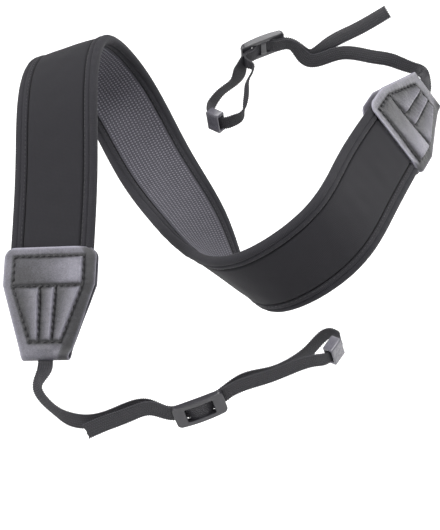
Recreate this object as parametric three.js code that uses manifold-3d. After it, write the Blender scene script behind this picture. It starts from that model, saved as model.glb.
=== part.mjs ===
// Camera neck strap: a padded neoprene band with bound edges and a grey grip lining, a folded
// leather end at each side, and from each end a narrow webbing that runs through a tri-glide
// slider, makes a lug loop through a small keeper, returns through the slider and ends in a tail.
// Millimetres, +Z up. The origin is on the lining under the top of the arch, where the band
// rests on a neck. The band rises from its left end, arches over backwards, comes down behind
// and curls forward and up again to its right end.
import * as THREE from 'three';
import { mergeVertices } from 'three/addons/utils/BufferGeometryUtils.js';
import Module from 'manifold-3d';

const GAP = 0.3; // clearance between pieces that touch
const BAND = { length: 660, step: 12, width: 57, seam: 19.8, face: 3.2, edge: 3.3, wall: 1.2 };
const LINING = { thickness: 1.0, outer: -3.1 };
const LEATHER = { length: 75, wide: 31.3, narrow: 15.5, shoulder: 25, corner: 6, wall: 1.3 };
const LEATHER_SLOT = { length: 14, clear: 0.5 };
const CORE_END = { width: 2.2, steps: [9, 18, 32, 46], full: 18, thin: 0.6 };
const WEBBING = { width: 10, thickness: 1.1, step: 4.5, tuck: 22 };
const SLIDER = { length: 34, width: 16.5, bottom: -1.4, top: 4.1, drop: 2, corner: 2.5, bevel: 0.5 };
const WINDOW = { length: 20, width: 10.8, bar: 4.4, barTop: -0.4, barThickness: 1.2, corner: 0.6, socket: 1 };
const KEEPER = { width: 15.5, height: 7.5, length: 11, holeWidth: 10.8, holeHeight: 4.4, bevel: 0.4 };
const KEEPER_CORNER = { outside: 0.6, hole: 0.5 };
// Webbing in its slider: space between the two layers, how far from the middle each straight
// lead lies, step between stations over the bar, how far past the window's end it starts to
// rise, and how far past the bar's edge it is level.
const PASS = { space: 0.55, leads: [14, 18], step: 1.3, past: 0.3, level: 0.5 };

// Band sections: distance along the band, place of its centre line, and the direction of its
// width, from the left edge to the right one, as a turn about Z and a rise, in degrees.
const BAND_SECTIONS = [
  { along: 0, x: -8, y: -102, z: -126, turn: -13, rise: 3 },
  { along: 60, x: -7, y: -78, z: -71, turn: -11, rise: 6 },
  { along: 120, x: -8, y: -48, z: -20, turn: -13, rise: 10 },
  { along: 180, x: 0, y: 4, z: 3, turn: -18, rise: 18 },
  { along: 240, x: 25, y: 44, z: -28, turn: -8, rise: 25 },
  { along: 300, x: 53, y: 32, z: -78, turn: 16, rise: 24 },
  { along: 360, x: 79, y: -9, z: -113, turn: 24, rise: 5 },
  { along: 420, x: 99, y: -58, z: -141, turn: 31, rise: -25 },
  { along: 480, x: 127, y: -108, z: -147, turn: 34, rise: -44 },
  { along: 540, x: 173, y: -115, z: -118, turn: 23, rise: -50 },
  { along: 600, x: 200, y: -73, z: -86, turn: 10, rise: -48 },
  { along: 660, x: 223, y: -26, z: -58, turn: 14, rise: -50 },
];

// Leather panel: distance from its wide edge towards the fold, and height over the mid plane.
const LEATHER_PROFILE = [
  { from: 0, height: 4.5 },
  { from: 26, height: 4.5 },
  { from: 48, height: 3.4 },
  { from: 68, height: 2.7 },
];

// Each side: how far its leather reaches past the band's end section; where its slider and
// keeper sit, with the direction that the webbing takes through them (heading, climb) and the
// direction of its width (turn, rise); how far the webbing lies under and beside the slider's
// line just past its ends (sag, shift); and the webbing's route.
const SIDES = {
  left: {
    outward: -1,
    reach: 74,
    slider: { x: 89, y: -150, z: -221, heading: 3, climb: 20, turn: -124, rise: 57, sag: 0, shift: 2 },
    keeper: { x: 174.5, y: -142, z: -185, heading: -136, climb: -40, turn: -110, rise: 47 },
    approach: [
      { x: -11, y: -143, z: -200, turn: -14, rise: 8 },
      { x: -14, y: -147, z: -207, turn: -45, rise: 26 },
      { x: -10, y: -150, z: -215, turn: -63, rise: 41 },
      { x: -2, y: -152, z: -222, turn: -101, rise: 57 },
      { x: 7, y: -153, z: -227, turn: -126, rise: 70 },
      { x: 18, y: -152, z: -229, turn: -100, rise: 78 },
      { x: 36, y: -148, z: -225, turn: -110, rise: 75 },
      { x: 57, y: -146, z: -220, turn: -120, rise: 67 },
    ],
    outgoing: [
      { x: 118, y: -141, z: -204, turn: -128, rise: 60 },
      { x: 135, y: -136, z: -201, turn: -128, rise: 61 },
      { x: 148, y: -131, z: -196, turn: -124, rise: 57 },
      { x: 159, y: -126, z: -189, turn: -129, rise: 51 },
      { x: 167, y: -123, z: -181, turn: -126, rise: 47 },
      { x: 173, y: -124, z: -177, turn: -120, rise: 45 },
      { x: 178, y: -129, z: -178, turn: -111, rise: 46 },
    ],
    returning: [
      { x: 162, y: -150, z: -190, turn: -115, rise: 53 },
      { x: 148, y: -151, z: -194, turn: -122, rise: 58 },
      { x: 133, y: -151, z: -200, turn: -125, rise: 60 },
      { x: 118, y: -150, z: -205, turn: -126, rise: 60 },
    ],
    tail: [
      { x: 58, y: -152, z: -220.5, turn: -115, rise: 74 },
      { x: 44, y: -155, z: -224, turn: -140, rise: 75 },
      { x: 31, y: -159, z: -228, turn: 172, rise: 75 },
      { x: 18, y: -162, z: -233, turn: 127, rise: 80 },
    ],
  },
  right: {
    outward: 1,
    reach: 70,
    slider: { x: 133, y: 28, z: 5, heading: -163, climb: -20, turn: -99, rise: 46, sag: 2.5, shift: 0 },
    keeper: { x: 99, y: 15, z: -47, heading: 141, climb: 17, turn: -103, rise: 55 },
    approach: [
      { x: 252, y: 34, z: -18, turn: 0, rise: -45 },
      { x: 248, y: 41, z: -12, turn: -40, rise: 10 },
      { x: 238, y: 45, z: -8, turn: -60, rise: 61 },
      { x: 227, y: 45, z: -4, turn: -18, rise: 78 },
      { x: 215, y: 43, z: -2, turn: 34, rise: 80 },
      { x: 188, y: 39, z: 0.5, turn: -90, rise: 85 },
      { x: 165, y: 33, z: -3.5, turn: -95, rise: 72 },
    ],
    outgoing: [
      { x: 125, y: 17, z: -8, turn: -88, rise: 30 },
      { x: 122, y: 13, z: -18, turn: -79, rise: 18 },
      { x: 121, y: 11, z: -26, turn: -74, rise: 12 },
      { x: 120, y: 10, z: -35, turn: -76, rise: 14 },
      { x: 118, y: 8, z: -42, turn: -90, rise: 38 },
      { x: 111, y: 9, z: -47, turn: -100, rise: 52 },
    ],
    returning: [
      { x: 94, y: 25, z: -41, turn: -112, rise: 48 },
      { x: 96, y: 31, z: -36, turn: -122, rise: 32 },
      { x: 102.5, y: 32, z: -27.5, turn: -115, rise: 24 },
      { x: 114, y: 30, z: -18, turn: -108, rise: 32 },
    ],
    tail: [
      { x: 166, y: 36, z: -1, turn: -95, rise: 72 },
      { x: 181, y: 42, z: 7, turn: 60, rise: 84 },
      { x: 200, y: 46, z: 17, turn: 24, rise: 71 },
      { x: 225, y: 50, z: 31, turn: 20, rise: 67 },
    ],
  },
};

const COLOURS = {
  core: { color: 0x262629, roughness: 0.9, metalness: 0 },
  binding: { color: 0x202023, roughness: 0.85, metalness: 0 },
  lining: { color: 0x5e5f63, roughness: 0.95, metalness: 0 },
  leather: { color: 0x4a4a4e, roughness: 0.5, metalness: 0 },
  webbing: { color: 0x2c2c30, roughness: 0.8, metalness: 0 },
  plastic: { color: 0x3a3a3e, roughness: 0.45, metalness: 0 },
};

// Unit vector at a turn about Z from +X and a rise above the horizontal, in degrees.
function direction(turn, rise) {
  const angle = THREE.MathUtils.degToRad(turn);
  const lift = THREE.MathUtils.degToRad(rise);
  const level = Math.cos(lift);
  return new THREE.Vector3(level * Math.cos(angle), level * Math.sin(angle), Math.sin(lift));
}

// Natural cubic spline through rows of numbers at increasing knots; returns row-at-distance.
function naturalSpline(knots, rows) {
  const last = knots.length - 1;
  const step = knots.slice(1).map((knot, i) => knot - knots[i]);
  const bends = rows[0].map((first, column) => {
    const slope = (i) => (rows[i + 1][column] - rows[i][column]) / step[i];
    const upper = [0];
    const value = [0];
    for (let i = 1; i < last; i += 1) {
      const pivot = 2 * (step[i - 1] + step[i]) - step[i - 1] * upper[i - 1];
      upper[i] = step[i] / pivot;
      value[i] = (6 * (slope(i) - slope(i - 1)) - step[i - 1] * value[i - 1]) / pivot;
    }
    const bend = new Array(last + 1).fill(0);
    for (let i = last - 1; i > 0; i -= 1) {
      bend[i] = value[i] - upper[i] * bend[i + 1];
    }
    return bend;
  });
  return (at) => {
    const after = knots.findIndex((knot) => knot > at);
    const i = Math.max(0, after < 0 ? last - 1 : after - 1);
    const b = (at - knots[i]) / step[i];
    const a = 1 - b;
    const curl = step[i] ** 2 / 6;
    return bends.map((bend, column) => a * rows[i][column] + b * rows[i + 1][column]
      + ((a ** 3 - a) * bend[i] + (b ** 3 - b) * bend[i + 1]) * curl);
  };
}

// A strap's frame: its point, the way it runs, the way across it, and the way its face looks.
function frame(point, along, across) {
  const width = across.clone().addScaledVector(along, -across.dot(along)).normalize();
  return { point, along, across: width, face: new THREE.Vector3().crossVectors(width, along) };
}

// Frames at chosen distances along a spline of point and width direction.
function framesAlong(knots, stops, distances) {
  const spline = naturalSpline(knots, stops.map((stop) => [...stop.point, ...stop.across]));
  const reach = 0.25;
  return distances.map((at) => {
    const row = spline(at);
    const before = new THREE.Vector3(...spline(at - reach));
    const after = new THREE.Vector3(...spline(at + reach));
    const along = after.sub(before).normalize();
    return frame(new THREE.Vector3(...row), along, new THREE.Vector3(...row.slice(3)));
  });
}

// Distances from start to end in equal steps no longer than the given one.
function evenly(start, end, step) {
  const count = Math.ceil((end - start) / step);
  return Array.from({ length: count + 1 }, (unused, i) => start + (end - start) * (i / count));
}

// The frame moved by a distance along, across and out of its face.
function moved(station, along, across, out) {
  const point = station.point.clone();
  point.addScaledVector(station.along, along);
  point.addScaledVector(station.across, across);
  point.addScaledVector(station.face, out);
  return { ...station, point };
}

// Closed body swept through stations; section(i) gives its outline there as [across, out]
// points, always as many and in the same order. Each quad is split from its right corner to
// its left one further on, so that neighbouring bodies bend alike and keep their gap.
function sweep(stations, section) {
  const outline = section(0).map(([across, out]) => new THREE.Vector2(across, out));
  const clockwise = THREE.ShapeUtils.isClockWise(outline);
  const ring = clockwise ? outline.reverse() : outline;
  const count = ring.length;
  const corners = [];
  stations.forEach((station, i) => {
    const points = section(i).map(([across, out]) => moved(station, 0, across, out).point);
    const ordered = clockwise ? points.reverse() : points;
    ordered.forEach((point) => corners.push(...point));
  });
  const faces = [];
  for (let i = 0; i + 1 < stations.length; i += 1) {
    for (let j = 0; j < count; j += 1) {
      const k = (j + 1) % count;
      const here = i * count + j;
      const next = i * count + k;
      if (ring[k].x > ring[j].x) {
        faces.push(here, here + count, next, next, here + count, next + count);
      } else {
        faces.push(here, here + count, next + count, here, next + count, next);
      }
    }
  }
  const end = (stations.length - 1) * count;
  THREE.ShapeUtils.triangulateShape(ring, []).forEach(([a, b, c]) => {
    faces.push(a, b, c, end + a, end + c, end + b);
  });
  const geometry = new THREE.BufferGeometry();
  geometry.setAttribute('position', new THREE.Float32BufferAttribute(corners, 3));
  geometry.setIndex(faces);
  return geometry;
}

// A rectangle's outline, given by its half width and its lower and upper height.
function slab(half, low, high) {
  return [[-half, low], [-half, high], [half, high], [half, low]];
}

// Joins and cuts closed geometries.
const wasm = await Module();
wasm.setup();

function solid(geometry) {
  const bare = geometry.clone();
  bare.deleteAttribute('normal');
  bare.deleteAttribute('uv');
  const merged = mergeVertices(bare, 1e-3);
  const vertProperties = new Float32Array(merged.attributes.position.array);
  const triVerts = new Uint32Array(merged.index.array);
  return new wasm.Manifold(new wasm.Mesh({ numProp: 3, vertProperties, triVerts }));
}

function geometryOf(manifold) {
  const { vertProperties, triVerts } = manifold.getMesh();
  const geometry = new THREE.BufferGeometry();
  geometry.setAttribute('position', new THREE.BufferAttribute(vertProperties, 3));
  geometry.setIndex(new THREE.BufferAttribute(triVerts, 1));
  return geometry;
}

function piece(name, geometry, finish) {
  const mesh = new THREE.Mesh(geometry, new THREE.MeshStandardMaterial(finish));
  mesh.name = name;
  return mesh;
}

// Turns a mesh so that its x runs along, its y across and its z out of the face.
function place(mesh, station) {
  const basis = new THREE.Matrix4();
  basis.makeBasis(station.along, station.across, station.face.clone().negate());
  mesh.quaternion.setFromRotationMatrix(basis);
  mesh.position.copy(station.point);
  return mesh;
}

const bandFrames = (distances) => framesAlong(
  BAND_SECTIONS.map((row) => row.along),
  BAND_SECTIONS.map((row) => ({
    point: [row.x, row.y, row.z],
    across: direction(row.turn, row.rise),
  })),
  distances,
);

const bandEndFrame = (side) => bandFrames([side.outward < 0 ? 0 : BAND.length])[0];

// The frame at one of the band's ends, running outwards.
function outwardFrame(side) {
  const end = bandEndFrame(side);
  return frame(end.point, end.along.clone().multiplyScalar(side.outward), end.across);
}

// The band's own frame at a distance out past one of its ends.
const pastEnd = (side, out) => moved(bandEndFrame(side), side.outward * out, 0, 0);

// Half width of a leather end at a distance from its wide edge.
function leatherHalfWidth(from) {
  const { wide, narrow, shoulder, corner, length } = LEATHER;
  if (from < corner) {
    return wide - corner + Math.sqrt(corner ** 2 - (corner - from) ** 2);
  }
  const taper = Math.max(0, from - shoulder) / (length - shoulder);
  return wide + (narrow - wide) * taper;
}

// Round of the band's right edge at a radius, from its face round to its back.
function edgeRound(radius) {
  const centre = BAND.width / 2 - BAND.edge;
  return [90, 45, 0, -45, -90].map((degrees) => {
    const angle = THREE.MathUtils.degToRad(degrees);
    return [centre + radius * Math.cos(angle), radius * Math.sin(angle)];
  });
}

const mirrored = (points) => points.map(([across, out]) => [-across, out]).reverse();

// Padded core: the face stands up between the seams and steps down under the edge bindings.
// Inside the leather ends it narrows and thins.
function padCore() {
  const under = BAND.edge - BAND.wall - GAP;
  const edge = BAND.width / 2 - BAND.wall - GAP;
  const back = LINING.outer + LINING.thickness + GAP;
  const face = BAND.seam - GAP;
  const right = [[face, BAND.face], [face, under], ...edgeRound(under), [face, back]];
  const profile = [...right, ...mirrored(right)];
  const inside = CORE_END.steps;
  const last = inside[inside.length - 1];
  const tuck = (side, out) => {
    const thinning = Math.max(0, out - CORE_END.full) / (last - CORE_END.full);
    const leather = leatherHalfWidth(out + LEATHER.length - side.reach);
    const half = Math.min(edge, leather - CORE_END.width - GAP);
    return { ...pastEnd(side, out), wide: half / edge, thick: 1 - (1 - CORE_END.thin) * thinning };
  };
  const body = bandFrames(evenly(0, BAND.length, BAND.step));
  const stations = [
    ...inside.map((out) => tuck(SIDES.left, out)).reverse(),
    ...body.map((station) => ({ ...station, wide: 1, thick: 1 })),
    ...inside.map((out) => tuck(SIDES.right, out)),
  ];
  return piece('pad_core', sweep(stations, (i) => profile.map(
    ([across, out]) => [across * stations[i].wide, out * stations[i].thick],
  )), COLOURS.core);
}

// The band's stations with a short straight stretch inside each leather end.
function bandStations(tucked) {
  const body = bandFrames(evenly(0, BAND.length, BAND.step));
  return [pastEnd(SIDES.left, tucked), ...body, pastEnd(SIDES.right, tucked)];
}

// Edge binding: a thin wall wrapped round one edge, from seam to seam.
function edgeBinding(name, hand) {
  const { seam, edge, wall } = BAND;
  const inner = edge - wall;
  const outline = [
    [seam, edge], ...edgeRound(edge), [seam, -edge],
    [seam, -inner], ...edgeRound(inner).reverse(), [seam, inner],
  ];
  const turned = outline.map(([across, out]) => [hand * across, out]);
  return piece(name, sweep(bandStations(CORE_END.full), () => turned), COLOURS.binding);
}

// Grip lining: a thin skin over the inner face between the bindings.
function gripLining() {
  const low = LINING.outer;
  const outline = slab(BAND.seam - GAP, low, low + LINING.thickness);
  return piece('grip_lining', sweep(bandStations(CORE_END.full), () => outline), COLOURS.lining);
}

// Leather end: one strip folded at its narrow end round the webbing, with a slot in the fold.
function endCap(name, side) {
  const end = outwardFrame(side);
  const radius = LEATHER_PROFILE[LEATHER_PROFILE.length - 1].height;
  const crown = LEATHER.length - radius - LEATHER.wall / 2;
  const wideEdge = side.reach - LEATHER.length;
  const corner = [0, 0.1, 0.37, 0.67, 1].map((share) => share * LEATHER.corner);
  const front = [
    ...corner.map((from) => ({ from, height: LEATHER_PROFILE[0].height })),
    ...LEATHER_PROFILE.slice(1),
  ];
  const fold = [60, 30, 0, -30, -60].map((degrees) => {
    const angle = THREE.MathUtils.degToRad(degrees);
    return { from: crown + radius * Math.cos(angle), height: radius * Math.sin(angle) };
  });
  const back = front.map(({ from, height }) => ({ from, height: -height })).reverse();
  const rows = [...front, ...fold, ...back];
  const stations = rows.map((row, i) => {
    const before = rows[Math.max(0, i - 1)];
    const after = rows[Math.min(rows.length - 1, i + 1)];
    const run = end.along.clone().multiplyScalar(after.from - before.from);
    run.addScaledVector(end.face, after.height - before.height).normalize();
    return frame(moved(end, wideEdge + row.from, 0, row.height).point, run, end.across);
  });
  const half = LEATHER.wall / 2;
  const strip = sweep(stations, (i) => slab(leatherHalfWidth(rows[i].from), -half, half));
  const { length, clear } = LEATHER_SLOT;
  const opening = new THREE.BoxGeometry(length, WEBBING.width + 2 * clear, WEBBING.thickness + 2 * clear);
  const cutter = place(piece('slot', opening, {}), moved(end, side.reach, 0, 0));
  cutter.updateMatrix();
  opening.applyMatrix4(cutter.matrix);
  return piece(name, geometryOf(solid(strip).subtract(solid(opening))), COLOURS.leather);
}

const pose = ({ x, y, z, heading, climb, turn, rise }) => frame(
  new THREE.Vector3(x, y, z),
  direction(heading, climb),
  direction(turn, rise),
);

// Stops that take a webbing through its slider: under an end bar, up over the centre bar and
// down under the other. Layer 0 is the one next to the bar that it crosses, and hand is 1 where
// the webbing runs the way the slider does and -1 where it comes back.
function sliderStops(slider, layer, hand, sag, shift) {
  const pitch = WEBBING.thickness + PASS.space;
  const clear = GAP + WEBBING.thickness / 2;
  const over = WINDOW.barTop + clear + layer * pitch;
  const under = SLIDER.bottom - clear - (1 - layer) * pitch;
  const flat = WINDOW.bar / 2 + PASS.level;
  const foot = WINDOW.length / 2 + PASS.past;
  const before = [...PASS.leads.map((lead) => -lead).reverse(), ...evenly(-foot, -flat, PASS.step)];
  const places = [...before, 0, ...evenly(flat, foot, PASS.step), ...PASS.leads];
  return places.map((x) => {
    const rise = THREE.MathUtils.clamp((foot - Math.abs(x)) / (foot - flat), 0, 1);
    const height = under + (over - under) * (1 - Math.cos(Math.PI * rise)) / 2;
    const bend = (Math.max(0, Math.abs(x) - foot) / (PASS.leads[1] - foot)) ** 2;
    return moved(slider, hand * x, shift * bend, sag * bend - height);
  });
}

// One webbing: leather end, slider, lug loop through the keeper, slider again, free tail.
function webbingFrames(side) {
  const end = outwardFrame(side);
  const slider = pose(side.slider);
  const keeper = pose(side.keeper);
  const { sag, shift } = side.slider;
  const free = (rows) => rows.map((row) => ({
    point: new THREE.Vector3(row.x, row.y, row.z),
    across: direction(row.turn, row.rise),
  }));
  const stops = [
    ...[-WEBBING.tuck, -8, 0].map((along) => moved(end, side.reach + along, 0, 0)),
    ...free(side.approach),
    ...sliderStops(slider, 0, 1, sag, shift),
    ...free(side.outgoing),
    ...[-KEEPER.length / 2, 0, KEEPER.length / 2].map((along) => moved(keeper, along, 0, 0)),
    ...free(side.returning),
    ...sliderStops(slider, 1, -1, sag, shift),
    ...free(side.tail),
  ];
  const knots = [0];
  stops.slice(1).forEach((stop, i) => knots.push(knots[i] + stop.point.distanceTo(stops[i].point)));
  const distances = evenly(0, knots[knots.length - 1], WEBBING.step);
  return framesAlong(knots, stops, distances);
}

function webbing(name, side) {
  const half = WEBBING.thickness / 2;
  const outline = slab(WEBBING.width / 2, -half, half);
  return piece(name, sweep(webbingFrames(side), () => outline), COLOURS.webbing);
}

// A rounded rectangle's outline, with extra points along its long sides.
function roundedRectangle(Path, length, width, corner, stretches) {
  const path = new Path();
  const x = length / 2;
  const y = width / 2;
  const inner = x - corner;
  const along = Array.from({ length: stretches }, (unused, i) => inner * (2 * (i + 1) / stretches - 1));
  path.moveTo(-inner, -y);
  along.forEach((at) => path.lineTo(at, -y));
  path.absarc(inner, -y + corner, corner, -Math.PI / 2, 0, false);
  path.absarc(inner, y - corner, corner, 0, Math.PI / 2, false);
  along.forEach((at) => path.lineTo(-at, y));
  path.absarc(-inner, y - corner, corner, Math.PI / 2, Math.PI, false);
  path.absarc(-inner, -y + corner, corner, Math.PI, 1.5 * Math.PI, false);
  return path;
}

// Tri-glide slider: a window frame whose top falls away to its ends, and a centre bar.
function slider(name, side) {
  const { length, width, bottom, top, drop, corner, bevel } = SLIDER;
  const outline = roundedRectangle(THREE.Shape, length - 2 * bevel, width - 2 * bevel, corner, 6);
  const clear = 2 * bevel;
  outline.holes.push(roundedRectangle(
    THREE.Path, WINDOW.length + clear, WINDOW.width + clear, WINDOW.corner, 4,
  ));
  const body = new THREE.ExtrudeGeometry(outline, {
    depth: top - bottom - 2 * bevel,
    bevelSize: bevel,
    bevelThickness: bevel,
    bevelSegments: 1,
    curveSegments: 3,
  });
  body.translate(0, 0, bottom + bevel);
  const corners = body.attributes.position;
  for (let i = 0; i < corners.count; i += 1) {
    const fall = drop * (2 * corners.getX(i) / length) ** 2;
    const share = Math.max(0, corners.getZ(i) / top);
    corners.setZ(i, corners.getZ(i) - fall * share);
  }
  const bar = new THREE.BoxGeometry(WINDOW.bar, WINDOW.width + 2 * WINDOW.socket, WINDOW.barThickness);
  bar.translate(0, 0, WINDOW.barTop - WINDOW.barThickness / 2);
  const mesh = piece(name, geometryOf(solid(body).add(solid(bar))), COLOURS.plastic);
  return place(mesh, pose(side.slider));
}

// Keeper: a short rectangular tube round the webbing at the end of the lug loop.
function keeper(name, side) {
  const { width, height, length, holeWidth, holeHeight, bevel } = KEEPER;
  const clear = 2 * bevel;
  const { outside, hole } = KEEPER_CORNER;
  const outline = roundedRectangle(THREE.Shape, width - clear, height - clear, outside, 1);
  outline.holes.push(roundedRectangle(THREE.Path, holeWidth + clear, holeHeight + clear, hole, 1));
  const tube = new THREE.ExtrudeGeometry(outline, {
    depth: length - 2 * bevel,
    bevelSize: bevel,
    bevelThickness: bevel,
    bevelSegments: 1,
    curveSegments: 2,
  });
  tube.translate(0, 0, bevel - length / 2);
  tube.rotateY(Math.PI / 2);
  tube.rotateX(Math.PI / 2);
  return place(piece(name, tube, COLOURS.plastic), pose(side.keeper));
}

const strap = new THREE.Group();
strap.add(padCore(), gripLining());
strap.add(edgeBinding('edge_binding_left', -1), edgeBinding('edge_binding_right', 1));
Object.entries(SIDES).forEach(([name, side]) => {
  strap.add(endCap(`end_cap_${name}`, side));
  strap.add(webbing(`webbing_${name}`, side));
  strap.add(slider(`slider_${name}`, side));
  strap.add(keeper(`keeper_${name}`, side));
});

export default strap;
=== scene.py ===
"""Camera neck strap: the looks of a padded neoprene band with bound edges and a grip lining,
stitched leather ends, and ribbed webbing with a slider and a keeper at each side.

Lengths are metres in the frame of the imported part. Each piece follows the stations that it
reads from the CAD node which it stands for.
"""
import logging
import math
from collections.abc import Sequence
from dataclasses import dataclass, field
from enum import Enum

import bpy
import numpy as np
from mathutils import Matrix, Vector


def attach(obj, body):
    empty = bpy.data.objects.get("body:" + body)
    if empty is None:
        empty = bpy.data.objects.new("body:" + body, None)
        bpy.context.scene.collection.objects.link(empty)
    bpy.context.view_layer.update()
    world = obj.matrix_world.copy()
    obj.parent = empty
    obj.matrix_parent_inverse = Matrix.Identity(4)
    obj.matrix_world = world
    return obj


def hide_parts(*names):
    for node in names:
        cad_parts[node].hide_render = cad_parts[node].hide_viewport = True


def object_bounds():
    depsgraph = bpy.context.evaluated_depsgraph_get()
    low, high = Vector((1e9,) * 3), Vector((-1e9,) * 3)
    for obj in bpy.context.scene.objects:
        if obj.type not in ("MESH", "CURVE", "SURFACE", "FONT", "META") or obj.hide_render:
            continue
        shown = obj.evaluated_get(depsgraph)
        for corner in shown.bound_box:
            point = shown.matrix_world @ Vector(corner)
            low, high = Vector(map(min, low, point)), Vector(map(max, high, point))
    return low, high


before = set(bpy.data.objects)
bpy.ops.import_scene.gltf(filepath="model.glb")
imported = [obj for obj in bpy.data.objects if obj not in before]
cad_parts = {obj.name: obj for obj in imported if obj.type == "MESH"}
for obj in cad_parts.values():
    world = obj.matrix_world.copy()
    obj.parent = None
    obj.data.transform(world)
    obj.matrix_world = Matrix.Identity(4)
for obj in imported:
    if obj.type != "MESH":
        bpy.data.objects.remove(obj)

CAD_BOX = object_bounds()
LOG = logging.getLogger("camera_strap")
MM = 0.001
BODY = "root"
Array = np.ndarray


class Hand(Enum):
    """The strap's two sides, by the sign of the band's width direction."""

    LEFT = -1
    RIGHT = 1

    @property
    def word(self) -> str:
        """The side's name as it stands in a node's name."""
        return self.name.lower()


# ---------------------------------------------------------------- shader nodes


@dataclass(frozen=True)
class Value:
    """A number socket of a material, on which arithmetic adds Math nodes."""

    graph: "Graph"
    socket: bpy.types.NodeSocket

    def _maths(self, operation: str, *terms: "Value | float", clamp: bool = False) -> "Value":
        """Add one Math node.

        Args:
            operation: The Math node's operation.
            terms: Its operands, as values or numbers.
            clamp: Whether the result is kept between 0 and 1.

        Returns:
            The node's result.
        """
        settings = {"operation": operation, "use_clamp": clamp}
        return self.graph.value("ShaderNodeMath", settings, dict(enumerate(terms)))

    def __add__(self, other: "Value | float") -> "Value":
        """Sum."""
        return self._maths("ADD", self, other)

    def __sub__(self, other: "Value | float") -> "Value":
        """Difference."""
        return self._maths("SUBTRACT", self, other)

    def __mul__(self, other: "Value | float") -> "Value":
        """Product."""
        return self._maths("MULTIPLY", self, other)

    __radd__ = __add__
    __rmul__ = __mul__

    def wave(self, period: float) -> "Value":
        """A wave of this length between 0 and 1 along the value."""
        return self._maths("SINE", self * (2 * math.pi / period)) * 0.5 + 0.5

    def power(self, exponent: float) -> "Value":
        """The value raised to a power."""
        return self._maths("POWER", self, exponent)

    def between(self, low: float, high: float) -> "Value":
        """The value's share of the way from low to high, kept between 0 and 1."""
        return self._maths("MULTIPLY", self - low, 1 / (high - low), clamp=True)


class Graph:
    """A material's nodes, with one way to add each of them."""

    def __init__(self, name: str) -> None:
        """Start a material with a plain shader.

        Args:
            name: The material's name.
        """
        self.material = bpy.data.materials.new(name)
        self.material.use_nodes = True
        self.tree = self.material.node_tree
        self.shader = self.tree.nodes["Principled BSDF"]

    def node(self, kind: str, settings: dict | None = None, inputs: dict | None = None) -> bpy.types.Node:
        """Add a node.

        Args:
            kind: The node's type.
            settings: Its properties, set before its sockets.
            inputs: Values, sockets or numbers for its inputs, by name or index.

        Returns:
            The node.
        """
        made = self.tree.nodes.new(kind)
        for key, setting in (settings or {}).items():
            setattr(made, key, setting)
        for key, given in (inputs or {}).items():
            self.feed(made.inputs[key], given)
        return made

    def value(self, kind: str, settings: dict | None = None, inputs: dict | None = None,
              output: str | int = 0) -> Value:
        """Add a node and return one of its outputs as a value."""
        return Value(self, self.node(kind, settings, inputs).outputs[output])

    def feed(self, socket: bpy.types.NodeSocket, given: object) -> None:
        """Link an input, or set it.

        Args:
            socket: The input.
            given: A value or a socket to link, or a number or a colour to set.
        """
        if isinstance(given, Value):
            given = given.socket
        if isinstance(given, bpy.types.NodeSocket):
            self.tree.links.new(socket, given)
        else:
            socket.default_value = given

    def along_across(self) -> tuple[Value, Value]:
        """The piece's own surface measures, in metres.

        Returns:
            The measure along the piece and the measure across it.
        """
        uv = self.node("ShaderNodeUVMap", {"uv_map": "UVMap"})
        parts = self.node("ShaderNodeSeparateXYZ", inputs={0: uv.outputs[0]})
        return Value(self, parts.outputs[0]), Value(self, parts.outputs[1])

    def place(self) -> bpy.types.NodeSocket:
        """The place in object space."""
        return self.node("ShaderNodeTexCoord").outputs["Object"]

    def noise(self, size: float, detail: float = 2.0, rough: float = 0.5) -> Value:
        """Cloudy noise in object space.

        Args:
            size: The clouds' size.
            detail: How many finer layers it has.
            rough: How strong the finer layers are.

        Returns:
            A value about 0.5.
        """
        inputs = {"Vector": self.place(), "Scale": 1 / size, "Detail": detail, "Roughness": rough}
        return self.value("ShaderNodeTexNoise", None, inputs)

    def cells(self, size: float) -> Value:
        """How far from the edges of irregular cells a place is, as on a grain's pebbles."""
        inputs = {"Vector": self.place(), "Scale": 1 / size}
        return self.value("ShaderNodeTexVoronoi", {"feature": "DISTANCE_TO_EDGE"}, inputs)

    def blend(self, share: Value, low: Sequence[float], high: Sequence[float]) -> bpy.types.NodeSocket:
        """A colour between two colours.

        Args:
            share: How far the colour is from low to high.
            low: Colour at 0.
            high: Colour at 1.

        Returns:
            The mixed colour's socket.
        """
        mix = self.node("ShaderNodeMix", {"data_type": "RGBA"}, {0: share})
        mix.inputs[6].default_value = (*low, 1)
        mix.inputs[7].default_value = (*high, 1)
        return mix.outputs[2]

    def bump(self, height: Value, depth: float, below: bpy.types.Node | None = None) -> bpy.types.Node:
        """Add a Bump node of a real depth.

        Args:
            height: The height, as a share of the depth.
            depth: The depth.
            below: A Bump node that it stands on, or None.

        Returns:
            The node.
        """
        inputs = {"Height": height, "Distance": depth, "Strength": 1.0}
        if below is not None:
            inputs["Normal"] = below.outputs[0]
        return self.node("ShaderNodeBump", None, inputs)

    def finish(self, colour: object, roughness: object, bump: bpy.types.Node,
               constants: dict[str, object]) -> bpy.types.Material:
        """Feed the shader.

        Args:
            colour: Base colour's socket.
            roughness: Roughness value.
            bump: The node that gives the normal.
            constants: Plain numbers for other sockets.

        Returns:
            The material.
        """
        self.feed(self.shader.inputs["Base Color"], colour)
        self.feed(self.shader.inputs["Roughness"], roughness)
        self.feed(self.shader.inputs["Normal"], bump.outputs[0])
        for name, number in constants.items():
            self.shader.inputs[name].default_value = number
        return self.material


def grey(level: float) -> tuple[float, float, float]:
    """A nearly neutral colour of a level, with a cool violet cast."""
    return (level, level * 0.965, level * 1.16)


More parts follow.
